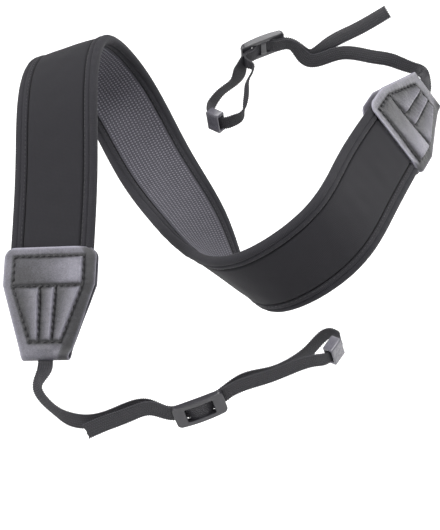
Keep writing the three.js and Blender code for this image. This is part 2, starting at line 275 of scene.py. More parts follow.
@dataclass(frozen=True)
class Cloth:
    """A knitted or woven cloth with a grid of yarns along and across the piece."""

    name: str
    dark: float
    light: float
    pitch_along: float
    pitch_across: float
    depth: float
    roughness: float = 0.86
    sheen: float = 0.03

    def build(self) -> bpy.types.Material:
        """Make the material.

        Returns:
            The material.
        """
        graph = Graph(self.name)
        along, across = graph.along_across()
        yarns = along.wave(self.pitch_along) * across.wave(self.pitch_across)
        clouds = graph.noise(9 * MM, 4.0, 0.6)
        fuzz = graph.noise(0.6 * MM, 3.0, 0.65)
        share = (yarns * 0.45 + clouds * 0.3 + fuzz * 0.5).between(0.2, 1.0)
        colour = graph.blend(share, grey(self.dark), grey(self.light))
        weave = graph.bump(yarns + fuzz * 0.8, self.depth)
        rough = clouds * 0.12 + (self.roughness - 0.06)
        constants = {"Sheen Weight": self.sheen, "Sheen Roughness": 0.5, "Specular IOR Level": 0.16}
        return graph.finish(colour, rough, weave, constants)


@dataclass(frozen=True)
class Leather:
    """Soft satin leather with a fine pebbled grain, glossier on its ridges and duller in its seams, with
    painted light and shade in its colour: painted highlights on ridges and cut edges, painted shade in seams.
    """

    name: str
    dark: float
    light: float
    roughness: float

    def build(self) -> bpy.types.Material:
        """Make the material.

        Returns:
            The material.
        """
        graph = Graph(self.name)
        clouds = graph.noise(14 * MM, 5.0, 0.62)
        fine = graph.noise(1.1 * MM, 4.0, 0.6)
        pebbles = graph.cells(0.9 * MM).between(0.0, 0.22)
        # The strip's attribute of painted light and shade: it lightens the colour under painted highlights,
        # darkens it in painted shade, and lowers the roughness where it is high.
        rub = graph.value("ShaderNodeAttribute", {"attribute_name": "rub"}, output="Fac")
        share = (clouds * 0.4 + fine * 0.3 + pebbles * 0.1 + rub * 0.9).between(0.37, 1.15).power(1.5)
        colour = graph.blend(share, grey(self.dark), grey(self.light))
        creases = graph.bump(graph.noise(6 * MM, 5.0, 0.55), 0.5 * MM)
        grain = graph.bump(pebbles * 0.8 + fine * 0.6, 0.09 * MM, creases)
        rough = fine * 0.2 + clouds * 0.12 + rub * -0.16 + (self.roughness - 0.08)
        constants = {"Specular IOR Level": 0.4}
        return graph.finish(colour, rough, grain, constants)


@dataclass(frozen=True)
class Plastic:
    """Satin moulded plastic with a spark-eroded texture."""

    name: str
    level: float
    roughness: float

    def build(self) -> bpy.types.Material:
        """Make the material.

        Returns:
            The material.
        """
        graph = Graph(self.name)
        clouds = graph.noise(7 * MM, 3.0)
        speckle = graph.noise(0.35 * MM, 2.0, 0.7)
        share = (clouds * 0.5 + speckle * 0.5).between(0.25, 0.8)
        colour = graph.blend(share, grey(self.level * 0.85), grey(self.level * 1.2))
        bump = graph.bump(speckle, 0.03 * MM)
        rough = speckle * 0.1 + clouds * 0.1 + (self.roughness - 0.1)
        return graph.finish(colour, rough, bump, {"Specular IOR Level": 0.5})


@dataclass(frozen=True)
class Thread:
    """Twisted sewing thread."""

    name: str
    level: float

    def build(self) -> bpy.types.Material:
        """Make the material.

        Returns:
            The material.
        """
        graph = Graph(self.name)
        fibres = graph.noise(0.3 * MM, 3.0, 0.7)
        colour = graph.blend(fibres, grey(self.level * 0.6), grey(self.level * 1.5))
        bump = graph.bump(fibres, 0.05 * MM)
        return graph.finish(colour, fibres * 0.2 + 0.45, bump, {"Specular IOR Level": 0.4})


@dataclass(frozen=True)
class Backdrop:
    """Plain matt studio surface that glows from a way out, so that it looks pale behind the strap."""

    level: float = 0.8
    glow: float = 0.70
    dull: float = 0.75
    bright: float = 1.05

    def build(self) -> bpy.types.Material:
        """Make the material.

        Returns:
            The material.
        """
        graph = Graph("studio_paper")
        mottle = graph.noise(0.4, 2.0)
        colour = graph.blend(mottle, (self.level,) * 3, (self.level + 0.03,) * 3)
        reach = graph.value("ShaderNodeVectorMath", {"operation": "LENGTH"}, {0: graph.place()}, "Value")
        rim = reach.between(self.dull, self.bright)
        graph.feed(graph.shader.inputs["Emission Color"], graph.blend(rim, (0.1,) * 3, (1.0,) * 3))
        constants = {"Emission Strength": self.glow}
        return graph.finish(colour, 0.9, graph.bump(mottle, 0.1 * MM), constants)


@dataclass
class Finishes:
    """Every finish of the strap, made once."""

    neoprene: bpy.types.Material = field(
        default_factory=Cloth("neoprene_face", 0.008, 0.015, 0.9 * MM, 0.9 * MM, 0.05 * MM).build)
    tape: bpy.types.Material = field(
        default_factory=Cloth("edge_tape", 0.009, 0.022, 1.1 * MM, 0.8 * MM, 0.08 * MM).build)
    lining: bpy.types.Material = field(
        default_factory=Cloth("grip_cloth", 0.026, 0.052, 2.0 * MM, 2.5 * MM, 0.15 * MM, 0.9).build)
    dots: bpy.types.Material = field(default_factory=Plastic("grip_dots", 0.085, 0.6).build)
    leather: bpy.types.Material = field(
        default_factory=Leather("soft_leather", 0.007, 0.178, 0.42).build)
    thread: bpy.types.Material = field(default_factory=Thread("black_thread", 0.006).build)
    webbing: bpy.types.Material = field(
        default_factory=Cloth("nylon_webbing", 0.016, 0.050, 0.8 * MM, 0.7 * MM, 0.06 * MM, 0.6).build)
    slider: bpy.types.Material = field(default_factory=Plastic("slider_plastic", 0.018, 0.36).build)
    keeper: bpy.types.Material = field(default_factory=Plastic("keeper_plastic", 0.07, 0.27).build)


# ------------------------------------------------------- stations and surfaces


@dataclass
class Path:
    """Stations along a strap: places and the run, width and face directions there."""

    points: Array
    along: Array
    across: Array
    face: Array
    reached: Array

    @property
    def length(self) -> float:
        """Distance from the first station to the last."""
        return float(self.reached[-1])

    def place(self, across: Array, out: Array) -> Array:
        """Points beside the stations.

        Args:
            across: Distances across, one row for each station.
            out: Distances out of the face, in the same shape.

        Returns:
            Points, one row of them for each station.
        """
        return (self.points[:, None] + across[..., None] * self.across[:, None]
                + out[..., None] * self.face[:, None])

    def resampled(self, reached: Array) -> "Path":
        """Set other stations on a smooth curve through the strap's own.

        Args:
            reached: The new stations' distances from the first of the old ones.

        Returns:
            The same strap with those stations.
        """
        columns = np.concatenate([self.points, self.across], axis=1)
        rows = smooth_curve(self.reached, columns, reached)
        nudge = 0.05 * MM
        ahead = smooth_curve(self.reached, columns[:, :3], reached + nudge)
        behind = smooth_curve(self.reached, columns[:, :3], reached - nudge)
        return path_of(rows[:, :3], rows[:, 3:], unit(ahead - behind))

    def without(self, start: float) -> "Path":
        """The same strap, with as many stations, without a stretch at its start."""
        return self.resampled(np.linspace(start, self.length, len(self.points)))

    def evenly(self, step: float) -> "Path":
        """The same strap with even stations no further apart than a step."""
        count = math.ceil(self.length / step)
        return self.resampled(np.linspace(0, self.length, count + 1))


def unit(vectors: Array) -> Array:
    """The vectors at length 1."""
    return vectors / np.linalg.norm(vectors, axis=-1, keepdims=True)


def path_of(points: Array, across: Array, along: Array | None = None) -> Path:
    """Make a path from its places and width directions.

    Args:
        points: The stations' places.
        across: The width directions, which needn't be square to the run.
        along: The run directions, or None to take them from the points.

    Returns:
        The path, with square unit directions.
    """
    run = unit(np.gradient(points, axis=0)) if along is None else along
    square = unit(across - (across * run).sum(1, keepdims=True) * run)
    gaps = np.linalg.norm(np.diff(points, axis=0), axis=1)
    return Path(points, run, square, np.cross(square, run), np.concatenate([[0.0], np.cumsum(gaps)]))


def smooth_curve(knots: Array, rows: Array, at: Array) -> Array:
    """Natural cubic spline through rows of numbers.

    Args:
        knots: Where the rows are, increasing.
        rows: One row for each knot.
        at: Where the curve is wanted; it runs on straight past its ends.

    Returns:
        One row for each place asked for.
    """
    step = np.diff(knots)
    slope = np.diff(rows, axis=0) / step[:, None]
    system = np.eye(len(knots))
    right = np.zeros_like(rows)
    for i in range(1, len(knots) - 1):
        system[i, i - 1:i + 2] = step[i - 1], 2 * (step[i - 1] + step[i]), step[i]
        right[i] = 6 * (slope[i] - slope[i - 1])
    bend = np.linalg.solve(system, right)
    i = np.clip(np.searchsorted(knots, at, side="right") - 1, 0, len(step) - 1)
    b = ((at - knots[i]) / step[i])[:, None]
    a = 1 - b
    curl = (step[i] ** 2 / 6)[:, None]
    return (a * rows[i] + b * rows[i + 1]
            + ((a ** 3 - a) * bend[i] + (b ** 3 - b) * bend[i + 1]) * curl)


def merged_mesh(node: str) -> tuple[Array, list[tuple[int, int, int]]]:
    """Read a CAD node's mesh, and merge the corners that its triangles share.

    Args:
        node: The node's name.

    Returns:
        The corners' places, and each triangle's corner numbers.
    """
    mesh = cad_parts[node].data
    mesh.calc_loop_triangles()
    places: dict[tuple[float, ...], int] = {}
    index = [places.setdefault(tuple(round(x, 6) for x in v.co), len(places)) for v in mesh.vertices]
    triangles = [tuple(index[v] for v in t.vertices) for t in mesh.loop_triangles]
    return np.array(list(places)), triangles


def strap_path(node: str, width: float, thickness: float) -> Path:
    """Stations of a flat CAD strap, found from its four-cornered cross-sections.

    Args:
        node: The CAD node's name.
        width: The strap's width.
        thickness: The strap's thickness.

    Returns:
        The path along the middle of its thickness, from the end whose corners the mesh lists
        first to the other end.
    """
    places, triangles = merged_mesh(node)
    slack = 0.02 * MM
    edges = {tuple(sorted((t[i], t[i - 1]))) for t in triangles for i in range(3)}
    partner: dict[int, int] = {}
    mates: dict[int, set[int]] = {i: set() for i in range(len(places))}
    for a, b in edges:
        size = np.linalg.norm(places[a] - places[b])
        if abs(size - thickness) < slack:
            partner[a], partner[b] = b, a
        elif abs(size - width) < slack:
            mates[a].add(b)
            mates[b].add(a)
    ring_of: dict[int, int] = {}
    rings = []
    for corner in range(len(places)):
        if corner not in ring_of:
            far = min(mates[corner])
            ring = (corner, partner[corner], far, partner[far])
            ring_of.update(dict.fromkeys(ring, len(rings)))
            rings.append(ring)
    touching: list[set[int]] = [set() for _ in rings]
    for a, b in edges:
        if ring_of[a] != ring_of[b]:
            touching[ring_of[a]].add(ring_of[b])
            touching[ring_of[b]].add(ring_of[a])
    order = [next(i for i, near in enumerate(touching) if len(near) == 1)]
    while len(order) < len(rings):
        order.append(next(i for i in touching[order[-1]] if i not in order[-2:]))
    centres = np.array([places[list(rings[i])].mean(axis=0) for i in order])
    across = []
    for i in order:
        a, b, c, d = (places[corner] for corner in rings[i])
        side = unit((a + b) - (c + d))
        across.append(-side if across and side @ across[-1] < 0 else side)
    return path_of(centres, np.array(across))


def reversed_path(path: Path) -> Path:
    """The same strap walked from its other end, with the same width direction."""
    return path_of(path.points[::-1], path.across[::-1])


def new_object(name: str, vertices: Array, faces: Sequence[Sequence[int]], uv: Array | None,
               material: bpy.types.Material | None) -> bpy.types.Object:
    """Make a smooth-shaded mesh object at the origin.

    Args:
        name: The object's name.
        vertices: Places of the corners.
        faces: Corner numbers of each face.
        uv: A pair of surface measures for each corner, or None.
        material: Its finish, or None for a piece that Geometry Nodes dress.

    Returns:
        The object, linked to the scene.
    """
    mesh = bpy.data.meshes.new(name)
    mesh.from_pydata(vertices.reshape(-1, 3).tolist(), [], faces)
    if uv is not None:
        layer = mesh.uv_layers.new(name="UVMap")
        corners = np.zeros(len(mesh.loops), dtype=int)
        mesh.loops.foreach_get("vertex_index", corners)
        layer.data.foreach_set("uv", uv.reshape(-1, 2)[corners].ravel())
    mesh.polygons.foreach_set("use_smooth", [True] * len(mesh.polygons))
    if material is not None:
        mesh.materials.append(material)
    mesh.update()
    made = bpy.data.objects.new(name, mesh)
    bpy.context.scene.collection.objects.link(made)
    return made


def loop_faces(rows: int, columns: int, closed_rows: bool = False, ends: bool = True) -> list[list[int]]:
    """Faces of a tube of closed loops.

    Args:
        rows: How many loops.
        columns: How many corners in each.
        closed_rows: Whether the last loop joins the first.
        ends: Whether the first and the last loop are filled.

    Returns:
        Corner numbers of each face.
    """
    faces = []
    for i in range(rows if closed_rows else rows - 1):
        here, there = i * columns, (i + 1) % rows * columns
        for j in range(columns):
            k = (j + 1) % columns
            faces.append([here + j, here + k, there + k, there + j])
    if ends and not closed_rows:
        faces.append(list(range(columns))[::-1])
        faces.append(list(range((rows - 1) * columns, rows * columns)))
    return faces


def outward(made: bpy.types.Object) -> bpy.types.Object:
    """Turn a closed mesh's faces outwards.

    Args:
        made: The object.

    Returns:
        The same object.
    """
    mesh = made.data
    mesh.calc_loop_triangles()
    co = np.array([v.co for v in mesh.vertices])
    tri = np.array([t.vertices[:] for t in mesh.loop_triangles])
    a, b, c = co[tri[:, 0]], co[tri[:, 1]], co[tri[:, 2]]
    if (a * np.cross(b, c)).sum() < 0:
        mesh.flip_normals()
    return made


def swept(name: str, path: Path, across: Array, out: Array, material: bpy.types.Material) -> bpy.types.Object:
    """A closed body through cross-sections along a path.

    Args:
        name: The object's name.
        path: Its stations.
        across: Distances across of each cross-section's corners, one row for each station.
        out: Distances out of the face, in the same shape.
        material: Its finish.

    Returns:
        The object, with its UV map in metres along and round the section.
    """
    vertices = path.place(across, out)
    rows, columns = across.shape
    girth = np.hypot(np.diff(across[rows // 2]), np.diff(out[rows // 2]))
    around = np.concatenate([[0.0], np.cumsum(girth)])
    uv = np.stack(np.broadcast_arrays(path.reached[:, None], around[None, :]), axis=-1)
    return outward(new_object(name, vertices, loop_faces(rows, columns), uv, material))


def squared(wave: Array, power: float) -> Array:
    """A cosine or sine made steeper, so that a circle of them comes near a square."""
    return np.sign(wave) * np.abs(wave) ** power


def ripple(seed: int, size: float, *places: Array) -> Array:
    """Smooth unevenness over a surface.

    Args:
        seed: Which of the many such surfaces.
        size: The size of its bumps.
        places: The surface's measures.

    Returns:
        Heights between about -1 and 1.
    """
    draw = np.random.default_rng(seed)
    total = 0.0
    count = 7
    for _ in range(count):
        turns = draw.normal(0, 1, len(places)) / size
        phase = draw.uniform(0, 2 * math.pi)
        total = total + np.sin(sum(turn * place for turn, place in zip(turns, places)) * 2 + phase)
    return total / math.sqrt(count)


# ------------------------------------------------------------- repeated pieces


class RowTree:
    """Geometry Nodes that set copies of one small piece at an even pitch along lines.

    The lines are a mesh of edges whose corners carry the outward direction as the attribute
    `face`. Each copy's x runs along its line and its z looks outwards.
    """

    def __init__(self) -> None:
        """Build the node tree."""
        self.tree = bpy.data.node_groups.new("row_of_pieces", "GeometryNodeTree")
        interface = self.tree.interface
        for label, kind in (("Lines", "NodeSocketGeometry"), ("Piece", "NodeSocketObject"),
                            ("Pitch", "NodeSocketFloat"), ("Wobble", "NodeSocketFloat"),
                            ("Seed", "NodeSocketInt"), ("Finish", "NodeSocketMaterial")):
            interface.new_socket(label, in_out="INPUT", socket_type=kind)
        interface.new_socket("Geometry", in_out="OUTPUT", socket_type="NodeSocketGeometry")
        self.build()

    def node(self, kind: str, settings: dict | None = None, inputs: dict | None = None) -> bpy.types.Node:
        """Add a node.

        Args:
            kind: The node's type.
            settings: Its properties, set before its sockets.
            inputs: Sockets or numbers for its inputs, by identifier or name.

        Returns:
            The node.
        """
        made = self.tree.nodes.new(kind)
        for key, setting in (settings or {}).items():
            setattr(made, key, setting)
        for key, given in (inputs or {}).items():
            socket = next(s for s in made.inputs if key in (s.identifier, s.name))
            if isinstance(given, bpy.types.NodeSocket):
                self.tree.links.new(socket, given)
            else:
                socket.default_value = given
        return made

    def build(self) -> None:
        """Add the nodes from the lines to the finished copies."""
        given = self.node("NodeGroupInput").outputs
        curve = self.node("GeometryNodeMeshToCurve", None, {"Mesh": given["Lines"]})
        spaced = self.node("GeometryNodeResampleCurve", {"mode": "LENGTH"},
                           {"Curve": curve.outputs[0], "Length": given["Pitch"]})
        run = self.node("GeometryNodeInputTangent")
        face = self.node("GeometryNodeInputNamedAttribute", {"data_type": "FLOAT_VECTOR"}, {"Name": "face"})
        axes = {"primary_axis": "X", "secondary_axis": "Z"}
        turned = self.node("FunctionNodeAxesToRotation", axes,
                           {"Primary Axis": run.outputs[0], "Secondary Axis": face.outputs[0]})
        drawn = self.node("FunctionNodeRandomValue", {"data_type": "FLOAT_VECTOR"},
                          {"Min": self.spread(given["Wobble"], -1.0),
                           "Max": self.spread(given["Wobble"], 1.0), "Seed": given["Seed"]})
        shaken = self.node("FunctionNodeEulerToRotation", None, {"Euler": drawn.outputs[0]})
        rotation = self.node("FunctionNodeRotateRotation", {"rotation_space": "LOCAL"},
                             {"Rotation": turned.outputs[0], "Rotate By": shaken.outputs[0]})
        piece = self.node("GeometryNodeObjectInfo", None, {"Object": given["Piece"]})
        copies = self.node("GeometryNodeInstanceOnPoints", None,
                           {"Points": spaced.outputs[0], "Instance": piece.outputs["Geometry"],
                            "Rotation": rotation.outputs[0]})
        real = self.node("GeometryNodeRealizeInstances", None, {"Geometry": copies.outputs[0]})
        dressed = self.node("GeometryNodeSetMaterial", None,
                            {"Geometry": real.outputs[0], "Material": given["Finish"]})
        self.node("NodeGroupOutput", None, {"Geometry": dressed.outputs[0]})

    def spread(self, number: bpy.types.NodeSocket, factor: float) -> bpy.types.NodeSocket:
        """Make a vector of three equal parts.

        Args:
            number: The number.
            factor: What it is multiplied by.

        Returns:
            The vector's socket.
        """
        even = self.node("ShaderNodeCombineXYZ", None, {"X": number, "Y": number, "Z": number})
        scaled = {"Vector": even.outputs[0], "Scale": factor}
        return self.node("ShaderNodeVectorMath", {"operation": "SCALE"}, scaled).outputs[0]

    def lay(self, name: str, lines: Sequence[tuple[Array, Array]], piece: bpy.types.Object, pitch: float,
            finish: bpy.types.Material, wobble: float = 0.0, seed: int = 1) -> bpy.types.Object:
        """Set copies of a piece along lines.

        Args:
            name: The finished object's name.
            lines: Each line's points and outward directions.
            piece: The small piece.
            pitch: The distance from one copy to the next.
            finish: The copies' material.
            wobble: How far a copy may be turned, in radians.
            seed: The seed for that.

        Returns:
            One plain mesh object with every copy.
        """
        mesh = bpy.data.meshes.new(name)
        counts = [len(points) for points, _ in lines]
        starts = np.concatenate([[0], np.cumsum(counts)])
        edges = [(int(s) + i, int(s) + i + 1) for s, n in zip(starts, counts) for i in range(n - 1)]
        mesh.from_pydata(np.concatenate([p for p, _ in lines]).tolist(), edges, [])
        attribute = mesh.attributes.new("face", "FLOAT_VECTOR", "POINT")
        attribute.data.foreach_set("vector", np.concatenate([f for _, f in lines]).ravel())
        guide = bpy.data.objects.new(name + "_guide", mesh)
        bpy.context.scene.collection.objects.link(guide)
        modifier = guide.modifiers.new("row", "NODES")
        modifier.node_group = self.tree
        chosen = {"Piece": piece, "Pitch": pitch, "Wobble": wobble, "Seed": seed, "Finish": finish}
        for item in self.tree.interface.items_tree:
            if item.item_type == "SOCKET" and item.in_out == "INPUT" and item.name in chosen:
                modifier[item.identifier] = chosen[item.name]
        graph = bpy.context.evaluated_depsgraph_get()
        made = bpy.data.objects.new(name, bpy.data.meshes.new_from_object(guide.evaluated_get(graph)))
        bpy.context.scene.collection.objects.link(made)
        bpy.data.objects.remove(guide)
        bpy.data.objects.remove(piece)
        return made


def thread_loop(length: float, thick: float) -> bpy.types.Object:
    """One stitch: a short thread whose ends dive into the cloth.

    Args:
        length: Its length.
        thick: Its thickness.

    Returns:
        The piece, lying along x with z outwards.
    """
    rows, columns = 7, 6
    share = np.linspace(-1, 1, rows)
    girth = thick / 2 * np.sqrt(1 - 0.93 * share ** 2)
    sink = -0.55 * thick * share ** 4
    turn = np.arange(columns) * 2 * math.pi / columns
    x = np.broadcast_to(share[:, None] * length / 2, (rows, columns))
    y = girth[:, None] * np.cos(turn)
    z = girth[:, None] * np.sin(turn) + sink[:, None]
    vertices = np.stack([x, y, z], axis=-1)
    return outward(new_object("one_stitch", vertices, loop_faces(rows, columns), None, None))


@dataclass
class Workshop:
    """What every sub-assembly shares: the finishes, the row tree and the hand-over."""

    finishes: Finishes
    rows: RowTree

    def deliver(self, piece: bpy.types.Object, slot: str, *nodes: str) -> bpy.types.Object:
        """Make a finished piece part of the strap.

        Args:
            piece: The piece.
            slot: Not used.
            nodes: The CAD nodes that it stands for.

        Returns:
            The piece.
        """
        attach(piece, BODY)
        if nodes:
            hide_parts(*nodes)
        LOG.info("%s: %d faces", piece.name, len(piece.data.polygons))
        return piece


# ------------------------------------------------------------------- the band


@dataclass
class Band:
    """The padded band's sizes and its stations from the left end to the right one."""

    width: float = 57 * MM
    seam: float = 19.8 * MM
    face: float = 3.2 * MM
    edge: float = 3.3 * MM
    tucked: float = 18 * MM
    lining_width: float = 39 * MM
    lining_thickness: float = 1.0 * MM
    lining_out: float = -2.6 * MM
    step: float = 1.5 * MM
    path: Path = field(init=False)

    def __post_init__(self) -> None:
        """Read the stations from the CAD lining, and set them on the band's own middle."""
        lining = strap_path("grip_lining", self.lining_width, self.lining_thickness)
        if lining.points[0][0] > lining.points[-1][0]:
            lining = reversed_path(lining)
        if lining.across[0][0] < 0:
            lining = path_of(lining.points, -lining.across)
        middle = lining.points - self.lining_out * lining.face
        self.path = path_of(middle, lining.across).evenly(self.step)

    def end(self, hand: Hand) -> tuple[Array, Array, Array, Array]:
        """The band's end inside one leather end.

        Args:
            hand: Which side.

        Returns:
            The place where the leather begins to reach out, and the outward run, width and
            face directions there.
        """
        i = 0 if hand is Hand.LEFT else -1
        run = self.path.along[i] * hand.value
        return self.path.points[i] - run * self.tucked, run, self.path.across[i], self.path.face[i]


@dataclass
class Pad:
    """The neoprene pad: a flat slightly crowned face whose sides roll down into the seams."""

    band: Band
    shop: Workshop
    crown: float = 0.5 * MM
    roll: float = 1.6 * MM
    back: float = -1.8 * MM
    sunk: float = 0.3 * MM
    lip: float = 0.6 * MM
    edge_clear: float = 0.35 * MM
    under_clear: float = 3.2 * MM
    unevenness: float = 0.16 * MM
    tail: float = 26 * MM
    tail_clear: float = 1.5 * MM
    tail_taper: float = 0.36
    tail_thinning: float = 0.35

    def section(self, columns: int = 34) -> tuple[Array, Array]:
        """Work out the cross-section, from the left seam over the face and back underneath.

        Args:
            columns: How many corners the face has.

        Returns:
            The corners' distances across, and out of the face.
        """
        half = self.band.seam - self.edge_clear
        share = np.sin(np.linspace(-math.pi / 2, math.pi / 2, columns))
        inset = half * (1 - np.abs(share))
        roll = 1 - np.clip(inset / self.roll, 0, 1)
        drop = (1 - np.sqrt(np.clip(1 - roll ** 2, 0, 1))) * self.roll
        face = self.band.face + self.crown * (1 - share ** 4) - drop - self.sunk
        under = self.band.width / 2 - self.under_clear
        across = np.concatenate([half * share, [under, under, -under, -under]])
        out = np.concatenate([face, [face[-1] - self.lip, self.back, self.back, face[0] - self.lip]])
        return across, out

    def build(self) -> None:
        """Make the pad and its two tails."""
        path = self.band.path
        across, out = self.section()
        rows = len(path.points)
        along = path.reached[:, None]
        soft = np.where(out > 0, 1.0, 0.0) * (1 - (across / self.band.seam) ** 2).clip(0, 1)
        swell = self.unevenness * ripple(3, 16 * MM, along, across[None, :]) * soft
        pad = swept("neoprene_pad", path, np.tile(across, (rows, 1)), out[None, :] + swell,
                    self.shop.finishes.neoprene)
        self.shop.deliver(pad, "core", "pad_core")
        for hand in Hand:
            self.tail_piece(hand)

    def tail_piece(self, hand: Hand) -> None:
        """Make the pad's thinning tail between the panels of a leather end.

        Args:
            hand: Which end of the band.
        """
        start, run, across, face = self.band.end(hand)
        begin = start + run * self.band.tucked
        steps = np.linspace(0, self.tail, 14)
        points = begin + steps[:, None] * run
        path = path_of(points, np.tile(across, (len(steps), 1)), np.tile(run, (len(steps), 1)))
        turn = np.linspace(0, 2 * math.pi, 28, endpoint=False)
        widths = self.band.width / 2 - self.tail_clear - self.tail_taper * steps
        heights = (self.band.edge - self.tail_clear) * (1 - self.tail_thinning * steps / self.tail)
        tail = swept(f"pad_tail_{hand.word}", path, widths[:, None] * squared(np.cos(turn), 0.35),
                     heights[:, None] * squared(np.sin(turn), 0.35), self.shop.finishes.tape)
        self.shop.deliver(tail, "core")


@dataclass
class EdgeTape:
    """The tape bound round one edge of the band, with a ridge, a crease and a rolled edge."""

    band: Band
    shop: Workshop
    hand: Hand
    wall: float = 1.1 * MM
    pucker: float = 0.12 * MM
    stitch_pitch: float = 3.3 * MM
    stitch_in: float = 20.9 * MM
    stitch_out: float = 3.05 * MM
    stitch_length: float = 2.5 * MM
    stitch_thick: float = 0.55 * MM

    def outline(self) -> tuple[Array, Array]:
        """Work out the tape's cross-section, first its outside and then its inside.

        Returns:
            The corners' distances across the band, and out of its face.
        """
        # Distance across and height, in mm: groove at the seam, ridge, crease, start of the roll.
        face = np.array([[19.9, 1.9], [20.2, 2.7], [20.7, 3.05], [21.4, 3.3], [22.2, 3.5], [22.9, 3.35],
                         [23.4, 2.7], [23.7, 2.5], [24.1, 2.9], [24.6, 3.3], [25.2, 3.45]]) * MM
        centre = self.band.width / 2 - self.band.edge
        turn = np.radians(np.arange(75, -76, -15))
        radius = self.band.edge + 0.1 * MM
        edge = np.stack([centre + radius * np.cos(turn), radius * np.sin(turn)], axis=1)
        outside = np.concatenate([face, edge, face[::-1] * [1, -1]])
        inner = self.band.edge - self.wall
        inside = np.stack([centre + inner * np.cos(turn), inner * np.sin(turn)], axis=1)
        ends = np.array([[20.0 * MM, inner]])
        loop = np.concatenate([outside, ends * [1, -1], inside[::-1], ends])
        return loop[:, 0] * self.hand.value, loop[:, 1]

    def build(self) -> None:
        """Make the tape and its two rows of stitches."""
        path = self.band.path
        across, out = self.outline()
        rows = len(path.points)
        pull = self.pucker * ripple(11 + self.hand.value, 5 * MM, path.reached[:, None])
        tape = swept(f"edge_tape_{self.hand.word}", path, np.tile(across, (rows, 1)),
                     np.tile(out, (rows, 1)) * (1 + pull / self.band.edge), self.shop.finishes.tape)
        self.shop.deliver(tape, "binding", f"edge_binding_{self.hand.word}")
        lines = []
        for side in (1, -1):
            where = np.full((rows, 1), self.stitch_in * self.hand.value)
            height = np.full((rows, 1), side * self.stitch_out)
            lines.append((path.place(where, height)[:, 0], path.face * side))
        stitch = thread_loop(self.stitch_length, self.stitch_thick)
        stitches = self.shop.rows.lay(f"edge_stitches_{self.hand.word}", lines, stitch,
                                      self.stitch_pitch, self.shop.finishes.thread, 0.05, 5)
        self.shop.deliver(stitches, "binding")


@dataclass
class GripLining:
    """The grey lining on the band's inner face, with a grid of small raised dots."""

    band: Band
    shop: Workshop
    dot_pitch_along: float = 2.05 * MM
    dot_pitch_across: float = 2.45 * MM
    dot_radius: float = 0.72 * MM
    dot_height: float = 0.38 * MM
    dot_lift: float = 0.06 * MM
    side_clear: float = 1.2 * MM
    edge_round: float = 0.3 * MM
    slack: float = 0.1 * MM

    def build(self) -> None:
        """Make the cloth and its dots."""
        path = self.band.path
        rows = len(path.points)
        half = self.band.lining_width / 2
        low = self.band.lining_out - self.band.lining_thickness / 2
        high = self.band.lining_out + self.band.lining_thickness / 2
        share = np.linspace(-1, 1, 20)
        across = np.concatenate([half * share, half * share[::-1]])
        round_edge = self.edge_round * share ** 12
        sway = self.slack * ripple(21, 12 * MM, path.reached[:, None], half * share[None, :])
        lower = low + round_edge + sway * (1 - share ** 4)
        upper = np.broadcast_to(high - round_edge, (rows, len(share)))
        cloth = swept("grip_cloth", path, np.tile(across, (rows, 1)), np.concatenate([lower, upper], axis=1),
                      self.shop.finishes.lining)
        self.shop.deliver(cloth, "lining", "grip_lining")
        count = 2 * int((half - self.side_clear) / self.dot_pitch_across) + 1
        hidden = self.band.tucked * 0.9
        inside = (path.reached > hidden) & (path.reached < path.length - hidden)
        lines = []
        for i in range(count):
            where = np.full((rows, 1), (i - count // 2) * self.dot_pitch_across)
            spot = path.place(where, np.full((rows, 1), low + self.dot_lift))[:, 0]
            lines.append((spot[inside], -path.face[inside]))
        dots = self.shop.rows.lay("grip_dots", lines, self.dot(), self.dot_pitch_along,
                                  self.shop.finishes.dots, 0.03, 8)
        self.shop.deliver(dots, "lining")

    def dot(self) -> bpy.types.Object:
        """Make one low dome with a flat underside.

        Returns:
            The piece, with z outwards.
        """
        columns = 6
        turn = np.arange(columns) * 2 * math.pi / columns
        # Share of the dot's radius, and share of its height.
        rings = np.array([[1.0, -0.3], [0.93, 0.35], [0.55, 0.9]])
        radius = self.dot_radius * rings[:, :1]
        z = np.broadcast_to(self.dot_height * rings[:, 1:], (len(rings), columns))
        vertices = np.stack([radius * np.cos(turn), radius * np.sin(turn), z], axis=-1)
        return outward(new_object("one_dot", vertices, loop_faces(len(rings), columns), None, None))


# --------------------------------------------------------------- leather ends


